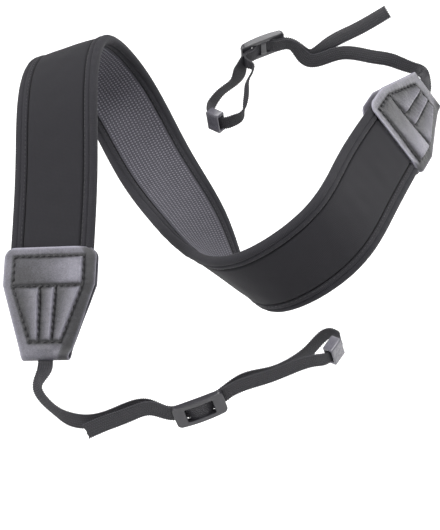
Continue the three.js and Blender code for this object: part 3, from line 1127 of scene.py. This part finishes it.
@dataclass
class LeatherEnd:
    """A leather strip folded over the band's end, stitched and puffed between its seams."""

    band: Band
    shop: Workshop
    hand: Hand
    length: float = 75 * MM
    wide: float = 31.3 * MM
    narrow: float = 15.5 * MM
    shoulder: float = 25 * MM
    corner: float = 7 * MM
    wall: float = 1.3 * MM
    height: float = 4.5 * MM
    fold_height: float = 2.7 * MM
    margin: float = 7.5 * MM
    low_margin: float = 8.6 * MM
    darts: tuple[tuple[float, float], ...] = ((-0.22, -0.44), (0.24, 0.40))
    slope: float = 2.6 * MM
    drop: float = 0.6 * MM
    fall_away: float = 2.6 * MM
    top_seam: float = 6.5 * MM
    cross_seam: float = 26.5 * MM
    low_seam: float = 63.5 * MM
    puff: float = 2.6 * MM
    back_puff: float = 0.4
    rise: float = 1.6 * MM
    seam_depth: float = 0.45 * MM
    seam_width: float = 0.8 * MM
    shadow_width: float = 1.5 * MM
    pucker: float = 0.22 * MM
    pucker_reach: float = 2.0 * MM
    unevenness: float = 0.16 * MM
    left_side: float = 1.5 * MM
    left_fall: float = 0.5 * MM
    cut_edge: float = 0.9 * MM
    strap_bulge: float = 0.7 * MM
    strap_half: float = 5.5 * MM
    dent: float = 1.1 * MM
    dent_across: float = 9 * MM
    dent_half: float = 4 * MM
    stitch_pitch: float = 4.4 * MM
    stitch_length: float = 3.2 * MM
    stitch_thick: float = 1.5 * MM
    stitch_out: float = 0.5 * MM

    def half_width(self, down: Array) -> Array:
        """Work out half the panel's width.

        Args:
            down: Distances down from the wide edge.

        Returns:
            Half the width there.
        """
        taper = np.clip((down - self.shoulder) / (self.length - self.shoulder), 0, 1)
        straight = self.wide + (self.narrow - self.wide) * taper
        into = np.clip(self.corner - down, 0, self.corner)
        return straight - self.corner + np.sqrt(self.corner ** 2 - into ** 2)

    def middle_height(self, down: Array) -> Array:
        """Work out how high the panel lies over the band's middle.

        Args:
            down: Distances down from the wide edge.

        Returns:
            The heights there, smoothed between a few stops.
        """
        stops = np.array([0, 26, 48, 68]) * MM
        heights = np.array([self.height, self.height, 3.4 * MM, self.fold_height])
        smooth = [np.interp(down + shift * MM, stops, heights) for shift in (-6, -3, 0, 3, 6)]
        return np.mean(smooth, axis=0)

    @property
    def crown(self) -> float:
        """How far down the panels run before they turn into the fold."""
        return self.length - self.fold_height - self.wall / 2

    @property
    def broad(self) -> float:
        """Half the stitched outline's width at its top."""
        return self.wide - self.margin

    @property
    def slim(self) -> float:
        """Half the stitched outline's width at its foot."""
        return float(self.half_width(np.array(self.low_seam))) - self.low_margin

    def seams(self) -> list[tuple[Array, Array]]:
        """List the stitched lines.

        Returns:
            Each line's two ends, as distances down and across the panel.
        """
        top, cross, low = self.top_seam, self.cross_seam, self.low_seam
        broad, slim = self.broad, self.slim
        corners = [(top, -broad), (top, broad), (cross, broad), (low, slim), (low, -slim), (cross, -broad)]
        outline = [(corners[i], corners[(i + 1) % len(corners)]) for i in range(len(corners))]
        across = [((cross, -broad), (cross, broad))]
        darts = [((cross, first * broad), (low, last * slim)) for first, last in self.darts]
        return [(np.array(a), np.array(b)) for a, b in outline + across + darts]

    def pleats(self, down: Array, across: Array) -> tuple[Array, Array]:
        """The padded fields between the seams, each rising from its left seam to a ridge.

        Args:
            down: Distances down from the wide edge.
            across: Distances across, in the same shape.

        Returns:
            The height as a share of the full puff, and the painted light across each field: it rises towards
            the right seam, with a painted highlight along it, and is below 0 in painted shade.
        """
        top, cross, low = self.top_seam, self.cross_seam, self.low_seam
        fall = np.clip((down - cross) / (low - cross), 0, 1)
        edge = self.broad + (self.slim - self.broad) * fall
        bounds = [-edge, *(first * self.broad * (1 - fall) + last * self.slim * fall
                           for first, last in self.darts), edge]
        height = np.zeros_like(down)
        ridge = np.zeros_like(down)
        fields = [(top, cross, bounds[0], bounds[-1])]
        fields += [(cross, low, *pair) for pair in zip(bounds, bounds[1:])]
        for start, stop, left, right in fields:
            inside = (down > start) & (down < stop) & (across > left) & (across < right)
            share = np.clip((across - left) / (right - left), 0, 1)
            from_left = 1 - np.exp(-np.clip(across - left, 0, 1) / self.slope)
            to_right = 1 - np.exp(-(np.clip(right - across, 0, 1) / self.drop) ** 2)
            from_top = 1 - np.exp(-np.clip(down - start, 0, 1) / self.rise)
            to_foot = 1 - np.exp(-np.clip(stop - down, 0, 1) / self.rise)
            here = from_left * to_right * from_top * to_foot
            height = np.where(inside, here * (0.35 + 0.85 * share ** 1.7), height)
            # Painted light: each field is darker by its left seam and lighter towards its right one, with a
            # painted highlight along the ridge.
            near = np.exp(-((right - across - 1.5 * self.drop) / (1.3 * self.drop)) ** 2)
            shade = 0.55 * near + 0.75 * share ** 1.3 - 0.45
            ridge = np.where(inside, shade * from_top * to_foot, ridge)
        return height, ridge

    def nearest_seam(self, down: Array, across: Array) -> tuple[Array, Array]:
        """Find the stitched line nearest to each place.

        Args:
            down: Distances down from the wide edge.
            across: Distances across, in the same shape.

        Returns:
            The distance to that line, and the distance along it.
        """
        spots = np.stack([down, across], axis=-1)
        nearest = np.full(down.shape, 1.0)
        beside = np.zeros(down.shape)
        for a, b in self.seams():
            run = b - a
            share = np.clip(((spots - a) @ run) / (run @ run), 0, 1)
            distance = np.linalg.norm(spots - a - share[..., None] * run, axis=-1)
            closer = distance < nearest
            nearest = np.where(closer, distance, nearest)
            beside = np.where(closer, share * np.linalg.norm(run), beside)
        return nearest, beside

    def relief(self, down: Array, across: Array, puff: float) -> tuple[Array, Array]:
        """How far the leather stands over its middle height, and the painted light and shade on it.

        Args:
            down: Distances down from the wide edge.
            across: Distances across, in the same shape.
            puff: How far the padding swells.

        Returns:
            Heights, and the painted light share, from 0 in the painted shade of a seam to 1 in the painted
            highlight of a ridge.
        """
        nearest, beside = self.nearest_seam(down, across)
        swell, ridge = self.pleats(down, across)
        half = self.half_width(down)
        seam = np.exp(-(nearest / self.seam_width) ** 2)
        # Painted shadow along the seams, a little wider than their grooves.
        shadow = np.exp(-(nearest / self.shadow_width) ** 2)
        right = np.clip((across - half + self.margin) / self.margin, 0, 1)
        left = np.clip((-across - half + self.left_side) / self.left_side, 0, 1)
        pull = np.sin(beside * 2 * math.pi / self.stitch_pitch)
        pucker = self.pucker * np.exp(-nearest / self.pucker_reach) * pull
        clear = np.clip(nearest / MM, 0, 1)
        uneven = self.unevenness * ripple(31 + self.hand.value, 8 * MM, down, across) * clear
        slope = self.fall_away * right ** 1.6 + self.left_fall * left ** 2
        low = np.clip((down - self.low_seam - 1 * MM) / (4 * MM), 0, 1)
        strap = self.strap_bulge * low * np.exp(-(across / self.strap_half) ** 4)
        dent = self.dent * low * np.exp(-((across - self.dent_across) / self.dent_half) ** 2)
        height = puff * swell - self.seam_depth * seam - slope + pucker + uneven + strap - dent
        # Closeness to the cut edges, where a painted highlight goes.
        cut = np.exp(-np.minimum(half - np.abs(across), down) / self.cut_edge)
        # Painted light and shade: lighter towards each field's ridge and on the left border, painted shadow
        # in and beside the seams, painted shade on the right border that falls away, and a painted highlight
        # along the cut edges.
        painted_light_share = 0.38 + 0.85 * ridge - 0.6 * shadow - 0.5 * right ** 0.4 + 0.1 * left + 0.8 * cut
        return height, np.clip(painted_light_share, 0, 1)

    def strip(self) -> tuple[Array, Array, Array]:
        """Follow the strip down the front panel, round the fold and up the back panel.

        Returns:
            Distances down from the wide edge, heights over the band's middle, and how far the
            leather's outer side is turned from the run, in degrees.
        """
        down = np.concatenate([[0, 0.15, 0.5], np.arange(1.0, self.crown / MM, 0.7)]) * MM
        turn = np.radians(np.arange(80, -81, -16))
        middle = self.middle_height(down)
        lengths = np.concatenate([down, self.crown + self.fold_height * np.cos(turn), down[::-1]])
        heights = np.concatenate([middle, self.fold_height * np.sin(turn), -middle[::-1]])
        bend = np.concatenate([np.full(len(down), 90), np.degrees(turn), np.full(len(down), -90)])
        return lengths, heights, bend

    def half_thickness(self, share: Array, rows: int) -> Array:
        """Work out half the leather's thickness, rounded at its sides and its cut ends.

        Args:
            share: Places across, from -1 to 1.
            rows: How many rows the strip has.

        Returns:
            Half the thickness, one row for each of the strip's.
        """
        sides = np.sqrt(np.clip(1 - np.clip((np.abs(share) - 0.97) / 0.03, 0, 1) ** 2, 0.02, 1))
        ends = np.ones(rows)
        ends[:3] = 0.3, 0.75, 0.95
        ends[-3:] = ends[:3][::-1]
        return (self.wall / 2 * sides)[None, :] * ends[:, None]

    def build(self) -> None:
        """Make the strip and its stitches."""
        start, run, width, face = self.band.end(self.hand)
        places, _ = merged_mesh(f"end_cap_{self.hand.word}")
        reach = float(((places - start) @ run).max())
        origin = start + run * (reach - self.length)
        lengths, heights, bend = self.strip()
        share = np.sin(np.linspace(-math.pi / 2, math.pi / 2, 110)) * 0.3 + np.linspace(-1, 1, 110) * 0.7
        across = self.half_width(lengths)[:, None] * share
        down = np.broadcast_to(lengths[:, None], across.shape)
        shown, painted_light_share = self.relief(down, across, self.puff)
        hidden, _ = self.relief(down, across, self.back_puff * self.puff)
        fade = np.clip((self.crown - down) / (6 * MM), 0, 1)
        front, back = (bend > 85)[:, None], (bend < -85)[:, None]
        relief = np.where(front, shown, np.where(back, hidden, 0)) * fade * (2 - fade)
        thick = self.half_thickness(share, len(lengths))
        turn = np.radians(bend)[:, None]
        normal = (np.cos(turn) * run + np.sin(turn) * face)[:, None]
        base = origin + lengths[:, None] * run + heights[:, None] * face
        middle = base[:, None] + across[..., None] * width
        outer = middle + (relief + thick)[..., None] * normal
        inner = middle + (np.minimum(relief * 0.6, 0.0) - thick)[..., None] * normal
        vertices = np.concatenate([outer, inner[:, ::-1]], axis=1)
        gaps = np.linalg.norm(np.diff(base, axis=0), axis=1)
        reached = np.concatenate([[0.0], np.cumsum(gaps)])
        measure = np.concatenate([across, across[:, ::-1]], axis=1)
        uv = np.stack([np.broadcast_to(reached[:, None], measure.shape), measure], axis=-1)
        leather = outward(new_object(f"leather_{self.hand.word}", vertices,
                                     loop_faces(*vertices.shape[:2]), uv, self.shop.finishes.leather))
        # The painted light and shade is stored on the leather's corners for its colour.
        rub = leather.data.attributes.new("rub", "FLOAT", "POINT")
        rub.data.foreach_set("value", np.concatenate([painted_light_share, painted_light_share[:, ::-1]], axis=1).ravel())
        self.shop.deliver(leather, "leather", f"end_cap_{self.hand.word}")
        self.sew(origin, run, width, face)

    def sew(self, origin: Array, run: Array, width: Array, face: Array) -> None:
        """Make the stitches on the front and back panels.

        Args:
            origin: The middle of the leather's wide edge.
            run: The direction towards the fold.
            width: The direction across.
            face: The direction out of the front panel.
        """
        lines = []
        for side, puff in ((1, self.puff), (-1, self.back_puff * self.puff)):
            for a, b in self.seams():
                count = max(2, math.ceil(np.linalg.norm(b - a) / (1 * MM)))
                spots = a + np.linspace(0.02, 0.98, count)[:, None] * (b - a)
                down, across = spots[:, 0], spots[:, 1]
                relief, _ = self.relief(down, across, puff)
                high = self.middle_height(down) + relief + self.wall / 2 + self.stitch_out
                points = (origin + down[:, None] * run + across[:, None] * width
                          + side * high[:, None] * face)
                lines.append((points, np.tile(face * side, (count, 1))))
        stitch = thread_loop(self.stitch_length, self.stitch_thick)
        stitches = self.shop.rows.lay(f"leather_stitches_{self.hand.word}", lines, stitch,
                                      self.stitch_pitch, self.shop.finishes.thread, 0.07, 13)
        self.shop.deliver(stitches, "leather")


# ------------------------------------------------------- webbing and hardware


@dataclass
class Webbing:
    """Narrow woven webbing from a leather end to its free tail."""

    shop: Workshop
    hand: Hand
    width: float = 10 * MM
    thickness: float = 1.1 * MM
    weft_pitch: float = 1.5 * MM
    columns: int = 7
    edge: float = 0.45 * MM
    narrowed: float = 0.25 * MM
    thinned: float = 0.12 * MM
    step: float = 1.0 * MM

    def build(self) -> None:
        """Make the strap's body, and the crossings of its yarns on both faces."""
        node = f"webbing_{self.hand.word}"
        path = strap_path(node, self.width, self.thickness).evenly(self.step)
        half = self.width / 2 - self.narrowed
        thick = self.thickness / 2 - self.thinned
        corner = np.array([[1, -0.7], [0.96, -1], [-0.96, -1], [-1, -0.7], [-1, 0.7], [-0.96, 1],
                           [0.96, 1], [1, 0.7]])
        across = np.tile(corner[:, 0] * half, (len(path.points), 1))
        out = np.tile(corner[:, 1] * thick, (len(path.points), 1))
        strap = swept(f"webbing_strap_{self.hand.word}", path, across, out, self.shop.finishes.thread)
        self.shop.deliver(strap, "webbing", node)
        lines = []
        places = np.linspace(-1, 1, self.columns) * (self.width / 2 - self.edge)
        even = path.evenly(self.weft_pitch / 2)
        for side in (1, -1):
            for i, place in enumerate(places):
                shifted = even.without((i % 2) * self.weft_pitch / 2)
                where = np.full((len(shifted.points), 1), place)
                height = np.full_like(where, side * (thick - 0.02 * MM))
                lines.append((shifted.place(where, height)[:, 0], shifted.face * side))
        weave = self.shop.rows.lay(f"webbing_weave_{self.hand.word}", lines, self.crossing(),
                                   self.weft_pitch, self.shop.finishes.webbing, 0.04, 17)
        self.shop.deliver(weave, "webbing")

    def crossing(self) -> bpy.types.Object:
        """Make one yarn's visible crossing, a small pillow.

        Returns:
            The piece, with z outwards.
        """
        columns = 6
        turn = np.arange(columns) * 2 * math.pi / columns
        # Share of the pillow's size, and its height in mm.
        rings = np.array([[1.0, -0.05], [0.9, 0.2], [0.55, 0.32]])
        spacing = (self.width - 2 * self.edge) / (self.columns - 1)
        x = rings[:, :1] * self.weft_pitch * 0.40 * np.cos(turn)
        y = rings[:, :1] * spacing * 0.39 * np.sin(turn)
        z = np.broadcast_to(rings[:, 1:] * MM, x.shape)
        vertices = np.stack([x, y, z], axis=-1)
        return outward(new_object("one_crossing", vertices, loop_faces(len(rings), columns), None, None))


def flat_axes(node: str) -> tuple[Array, Array, Array, Array]:
    """The middle and axes of a moulded CAD piece, from its largest flat sides.

    Args:
        node: The CAD node's name.

    Returns:
        Its middle, the direction along it, the direction across it, and the direction its
        largest flat side looks away from.
    """
    places, triangles = merged_mesh(node)
    corners = places[np.array(triangles)]
    area = np.cross(corners[:, 1] - corners[:, 0], corners[:, 2] - corners[:, 0])
    size = np.linalg.norm(area, axis=1)
    normal = area / np.maximum(size, 1e-15)[:, None]
    alike = (normal @ normal.T > 0.9995) * size[None, :]
    underside = normal[alike.sum(axis=1).argmax()]
    square = np.abs(normal @ underside) < 0.02
    beside = (np.abs(normal @ normal.T) > 0.9995) * size[None, :]
    side = normal[np.where(square, beside.sum(axis=1), 0).argmax()]
    out = -underside
    run = np.cross(side, out)
    axes = np.stack([run, side, out])
    spread = places @ axes.T
    middle = (spread.min(axis=0) + spread.max(axis=0)) / 2 @ axes
    return middle, run, side, out


def rounded_outline(length: float, width: float, corner: float, arc: int, side: int) -> Array:
    """A rounded rectangle's corners, anticlockwise.

    Args:
        length: Its size in x.
        width: Its size in y.
        corner: Its corners' radius.
        arc: Points on each corner.
        side: Points between two corners on each straight side.

    Returns:
        Pairs of x and y.
    """
    points = []
    x, y = length / 2 - corner, width / 2 - corner
    for quarter, (sx, sy) in enumerate(((1, 1), (-1, 1), (-1, -1), (1, -1))):
        turn = np.radians(90 * quarter + np.linspace(0, 90, arc))
        bend = np.stack([sx * x + corner * np.cos(turn), sy * y + corner * np.sin(turn)], axis=1)
        if points:
            gap = np.linspace(points[-1][-1], bend[0], side + 2)[1:-1]
            points.append(gap)
        points.append(bend)
    points.append(np.linspace(points[-1][-1], points[0][0], side + 2)[1:-1])
    return np.concatenate(points)


def ring_body(outer: Array, inner: Array, low: Array, high: Array,
              edge: float) -> tuple[Array, list[list[int]]]:
    """A ring-shaped body with rounded edges.

    Args:
        outer: Pairs of x and y round the outside.
        inner: Pairs of x and y round the hole, as many.
        low: Height of the underside at the outside and at the hole, for each pair.
        high: Height of the top there.
        edge: Radius of its edges.

    Returns:
        Corner places, and the faces' corner numbers.
    """
    turn = np.radians([0, 22.5, 45, 67.5, 90])
    inwards = unit(inner - outer)
    size = np.linalg.norm(inner - outer, axis=1, keepdims=True)
    rows = []
    for far, tall in ((0, 0), (0, 1), (1, 1), (1, 0)):
        for angle in turn[::-1] if far == tall else turn:
            set_in = edge * (1 - math.cos(angle))
            set_up = edge * (1 - math.sin(angle))
            spot = outer + inwards * (size - set_in if far else set_in)
            level = high[:, far] - set_up if tall else low[:, far] + set_up
            rows.append(np.concatenate([spot, level[:, None]], axis=1))
    vertices = np.stack(rows, axis=1)
    return vertices, loop_faces(len(outer), len(rows), closed_rows=True)


@dataclass
class Slider:
    """A tri-glide slider: an arched frame with a window and a bar across its middle."""

    shop: Workshop
    hand: Hand
    length: float = 34 * MM
    width: float = 16.5 * MM
    window: float = 18.8 * MM
    window_width: float = 10.2 * MM
    bottom: float = -1.4 * MM
    top: float = 4.1 * MM
    drop: float = 2 * MM
    corner: float = 2.8 * MM
    window_corner: float = 0.8 * MM
    window_sunk: float = 0.2 * MM
    edge: float = 0.75 * MM
    bar: float = 4.4 * MM
    bar_top: float = -0.4 * MM
    bar_thickness: float = 1.2 * MM

    def build(self) -> None:
        """Make the slider."""
        middle, run, side, out = flat_axes(f"slider_{self.hand.word}")
        outer = rounded_outline(self.length, self.width, self.corner, 8, 16)
        inner = rounded_outline(self.window, self.window_width, self.window_corner, 8, 16)
        high = np.stack([self.arch(outer[:, 0]), self.arch(inner[:, 0]) - self.window_sunk], axis=1)
        low = np.full_like(high, self.bottom)
        frame_part, frame_faces = ring_body(outer, inner, low, high, self.edge)
        bar_part, bar_faces = self.bar_body()
        vertices = np.concatenate([frame_part.reshape(-1, 3), bar_part.reshape(-1, 3)])
        offset = frame_part.shape[0] * frame_part.shape[1]
        faces = frame_faces + [[corner + offset for corner in face] for face in bar_faces]
        underside = min(self.bottom, self.bar_top - self.bar_thickness)
        vertices[:, 2] -= (underside + self.top) / 2
        placed = middle + vertices @ np.stack([run, side, out])
        uv = vertices[:, :2]
        slider = new_object(f"slider_frame_{self.hand.word}", placed, faces, uv, self.shop.finishes.slider)
        self.shop.deliver(outward(slider), "plastic", f"slider_{self.hand.word}")

    def arch(self, x: Array) -> Array:
        """Height of the arched top at distances from the middle."""
        return self.top - self.drop * (2 * x / self.length) ** 2

    def bar_body(self) -> tuple[Array, list[list[int]]]:
        """Make the bar across the window, with rounded edges.

        Returns:
            Corner places, and the faces' corner numbers.
        """
        turn = np.linspace(0, 2 * math.pi, 20, endpoint=False)
        x = self.bar / 2 * squared(np.cos(turn), 0.45)
        z = self.bar_top - self.bar_thickness / 2 + self.bar_thickness / 2 * squared(np.sin(turn), 0.45)
        ends = np.linspace(-1, 1, 6) * (self.window_width / 2 + 0.6 * MM)
        rows = [np.stack([x, np.full_like(x, y), z], axis=-1) for y in ends]
        return np.stack(rows), loop_faces(len(ends), len(turn))


@dataclass
class Keeper:
    """A short rectangular tube round the two runs of webbing."""

    shop: Workshop
    hand: Hand
    width: float = 15.5 * MM
    height: float = 7.5 * MM
    length: float = 11 * MM
    hole_width: float = 10.8 * MM
    hole_height: float = 4.4 * MM
    corner: float = 1.0 * MM
    hole_corner: float = 0.6 * MM
    edge: float = 0.6 * MM

    def build(self) -> None:
        """Make the keeper."""
        middle, run, side, out = flat_axes(f"keeper_{self.hand.word}")
        outer = rounded_outline(self.width, self.height, self.corner, 6, 10)
        inner = rounded_outline(self.hole_width, self.hole_height, self.hole_corner, 6, 10)
        low = np.full((len(outer), 2), -self.length / 2)
        part, faces = ring_body(outer, inner, low, -low, self.edge)
        vertices = part.reshape(-1, 3)
        placed = middle + vertices @ np.stack([side, out, run])
        keeper = new_object(f"keeper_tube_{self.hand.word}", placed, faces, vertices[:, [2, 0]],
                            self.shop.finishes.keeper)
        self.shop.deliver(outward(keeper), "plastic", f"keeper_{self.hand.word}")


# --------------------------------------------------------------------- studio


@dataclass(frozen=True)
class Lamp:
    """A soft square light that looks at the strap."""

    name: str
    place: tuple[float, float, float]
    size: float
    power: float

    def build(self) -> None:
        """Add the light."""
        data = bpy.data.lights.new(self.name, "AREA")
        data.size = self.size
        data.energy = self.power
        lamp = bpy.data.objects.new(self.name, data)
        lamp.location = self.place
        middle = (CAD_BOX[0] + CAD_BOX[1]) / 2
        lamp.rotation_euler = (middle - Vector(self.place)).to_track_quat("-Z", "Y").to_euler()
        bpy.context.scene.collection.objects.link(lamp)


@dataclass
class Studio:
    """The floor that curves up all round, the soft lights and the camera."""

    floor: float = -0.60
    radius: float = 3.2
    wall: float = 2.2
    height: float = 1.8
    ambient: float = 0.12
    lamps: tuple[Lamp, ...] = (
        Lamp("key", (0.30, -0.86, 1.25), 0.6, 34),
        Lamp("side", (-1.25, -0.46, 0.64), 0.4, 20),
        Lamp("top", (0.25, 0.25, 1.30), 0.6, 12),
        Lamp("rim", (1.25, 0.46, 0.50), 0.4, 9),
    )
    stand: tuple[float, float, float] = (0.102, -1.1543, 0.0121)
    lens: float = 109.9
    tilt: float = 82.0

    def build(self) -> None:
        """Make the whole studio."""
        self.cove()
        world = bpy.data.worlds.new("studio")
        bpy.context.scene.world = world
        world.use_nodes = True
        background = world.node_tree.nodes["Background"]
        background.inputs["Color"].default_value = (1, 1, 1, 1)
        background.inputs["Strength"].default_value = self.ambient
        for lamp in self.lamps:
            lamp.build()
        self.camera()
        bpy.context.scene.view_settings.view_transform = "Standard"

    def cove(self) -> None:
        """Make a floor disc whose rim curves up into a low wall."""
        turn = np.linspace(0, 2 * math.pi, 96, endpoint=False)
        bend = np.radians(np.linspace(0, 90, 16))
        radii = np.concatenate([[0.02, 0.5], self.radius - self.wall * (1 - np.sin(bend))])
        heights = np.concatenate([[0.0, 0.0], self.height * (1 - np.cos(bend))])
        rows = [np.stack([r * np.cos(turn), r * np.sin(turn), np.full_like(turn, self.floor + h)], axis=-1)
                for r, h in zip(radii, heights)]
        faces = [face[::-1] for face in loop_faces(len(rows), len(turn), ends=False)]
        faces.append(list(range(len(turn))))
        new_object("studio_cove", np.stack(rows), faces, None, Backdrop().build())

    def camera(self) -> None:
        """Add the camera a little above the strap, looking slightly down along +Y."""
        data = bpy.data.cameras.new("camera")
        data.lens = self.lens
        camera = bpy.data.objects.new("camera", data)
        camera.location = self.stand
        camera.rotation_euler = Matrix.Rotation(math.radians(self.tilt), 3, "X").to_euler()
        bpy.context.scene.collection.objects.link(camera)
        bpy.context.scene.camera = camera


def main() -> None:
    """Build the studio and each sub-assembly of the strap in order."""
    logging.basicConfig(level=logging.INFO, format="%(name)s %(message)s")
    Studio().build()
    shop = Workshop(Finishes(), RowTree())
    band = Band()
    Pad(band, shop).build()
    GripLining(band, shop).build()
    for hand in Hand:
        EdgeTape(band, shop, hand).build()
        LeatherEnd(band, shop, hand).build()
        Webbing(shop, hand).build()
        Slider(shop, hand).build()
        Keeper(shop, hand).build()


if __name__ == "__main__":
    main()
